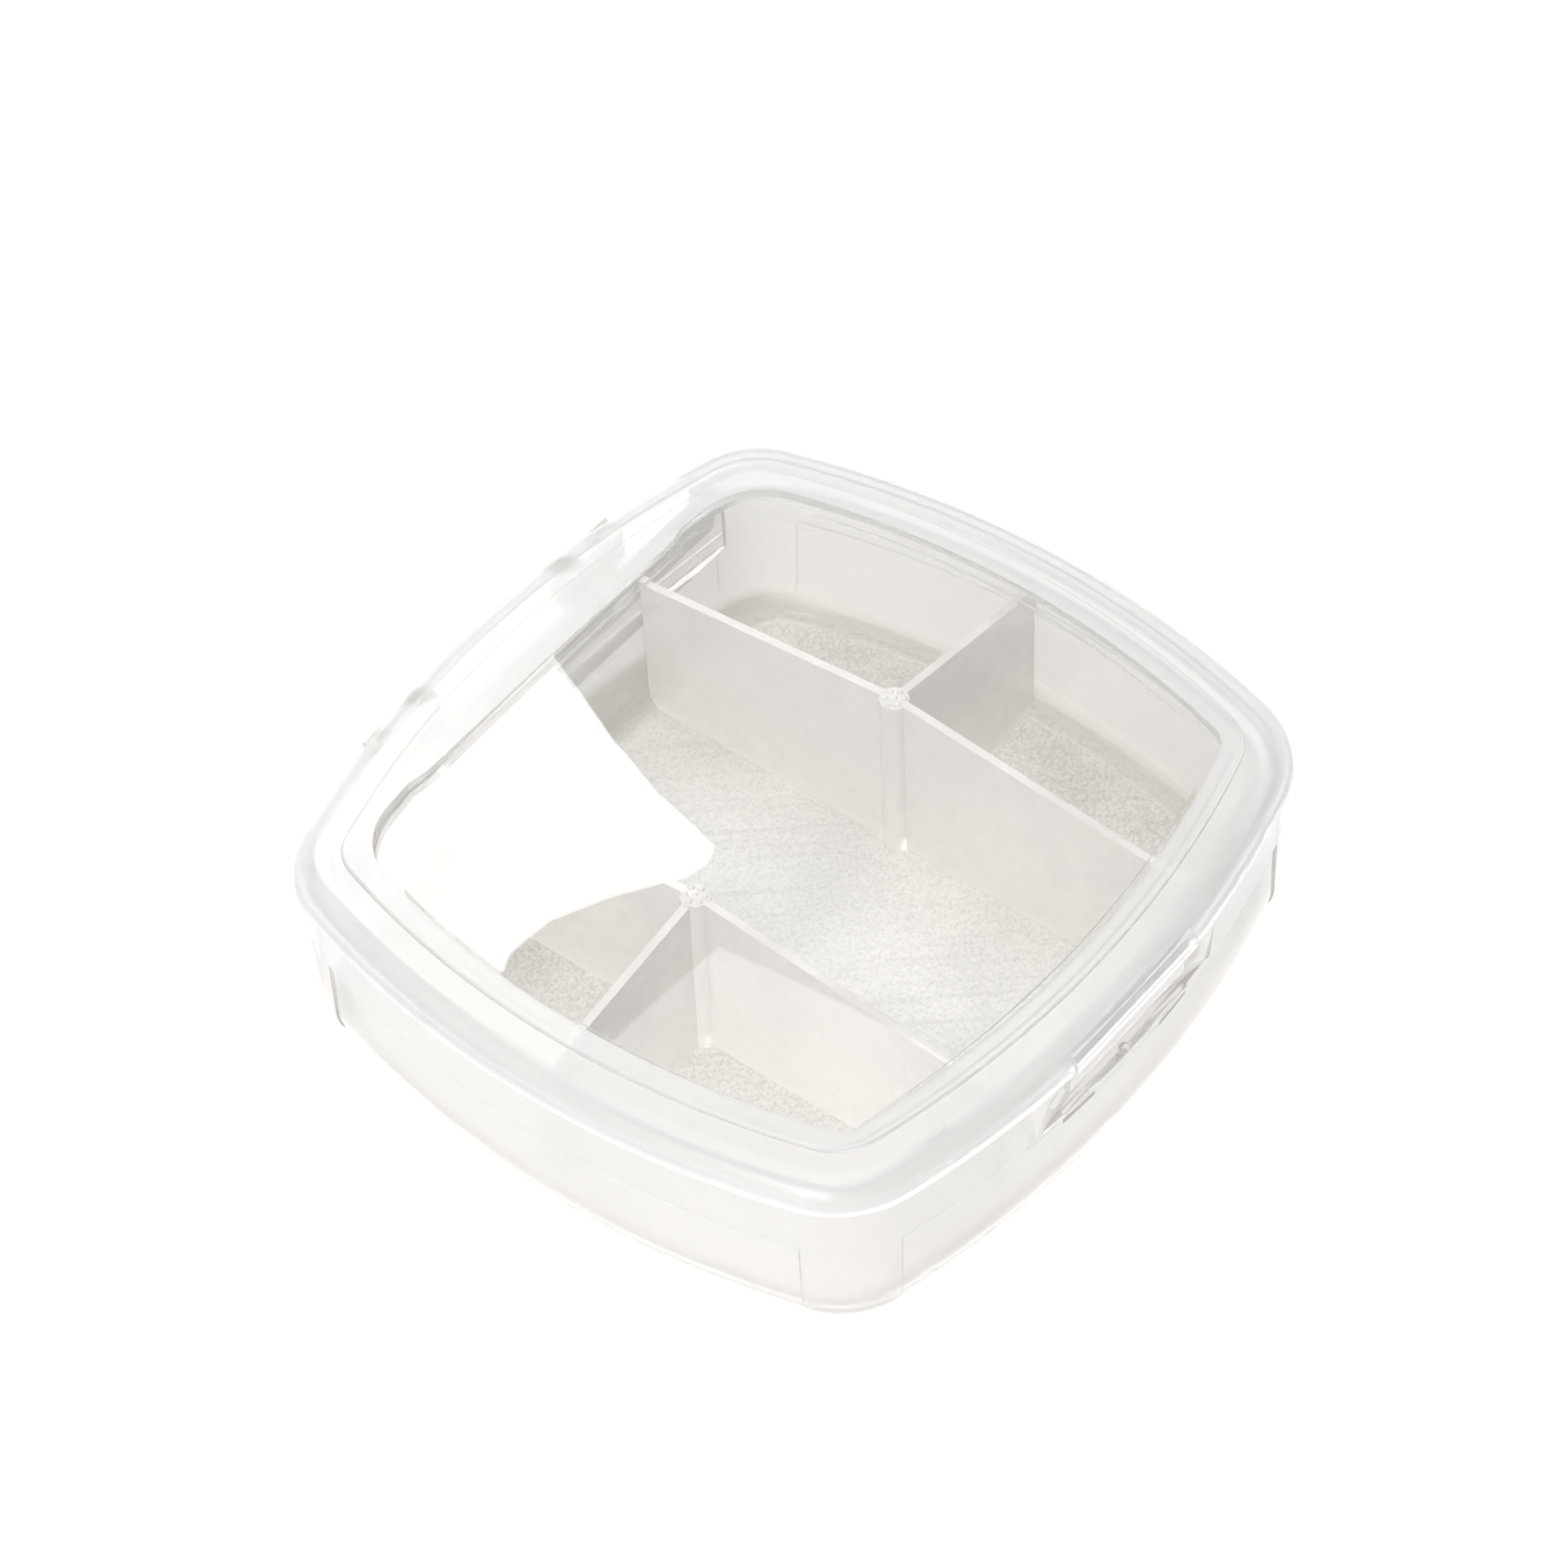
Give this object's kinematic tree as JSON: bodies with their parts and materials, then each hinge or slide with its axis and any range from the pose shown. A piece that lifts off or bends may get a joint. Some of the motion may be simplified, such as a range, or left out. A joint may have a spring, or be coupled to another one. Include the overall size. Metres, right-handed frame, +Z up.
{
  "type": "hinged sample box",
  "caption": "Shallow clear plastic box with bowed sides, a hinged lid with a clear window, a front catch, and a tray divided into compartments.",
  "frame": {"origin": "centre of the flat underside, on the surface the box stands on", "axes": "+Z up, -Y towards the catch side, +Y towards the hinge side, X along the hinge axis"},
  "size_m": [0.088, 0.085, 0.0259],
  "materials": {
    "base_plastic": "clear injection-moulded plastic, slightly milky, glossy",
    "tray_plastic": "clear plastic walls with a finely frosted floor",
    "divider_plastic": "clear glossy plastic",
    "lid_plastic": "clear plastic with a faint haze",
    "window_plastic": "clear polished plastic",
    "pin_plastic": "translucent plastic rod"
  },
  "bodies": {
    "base": {"base_shell": "base_plastic", "compartment_tray": "tray_plastic", "divider_right": "divider_plastic", "divider_left": "divider_plastic", "hinge_pin_right": "pin_plastic", "hinge_pin_left": "pin_plastic"},
    "lid": {"lid_frame": "lid_plastic", "lid_window": "window_plastic"}
  },
  "joints": [
    {"name": "lid_hinge", "type": "hinge", "parent": "base", "child": "lid", "pos_m": [0, 0.0396, 0.0188], "axis": [-1, 0, 0], "range_deg": [0, 110]}
  ]
}
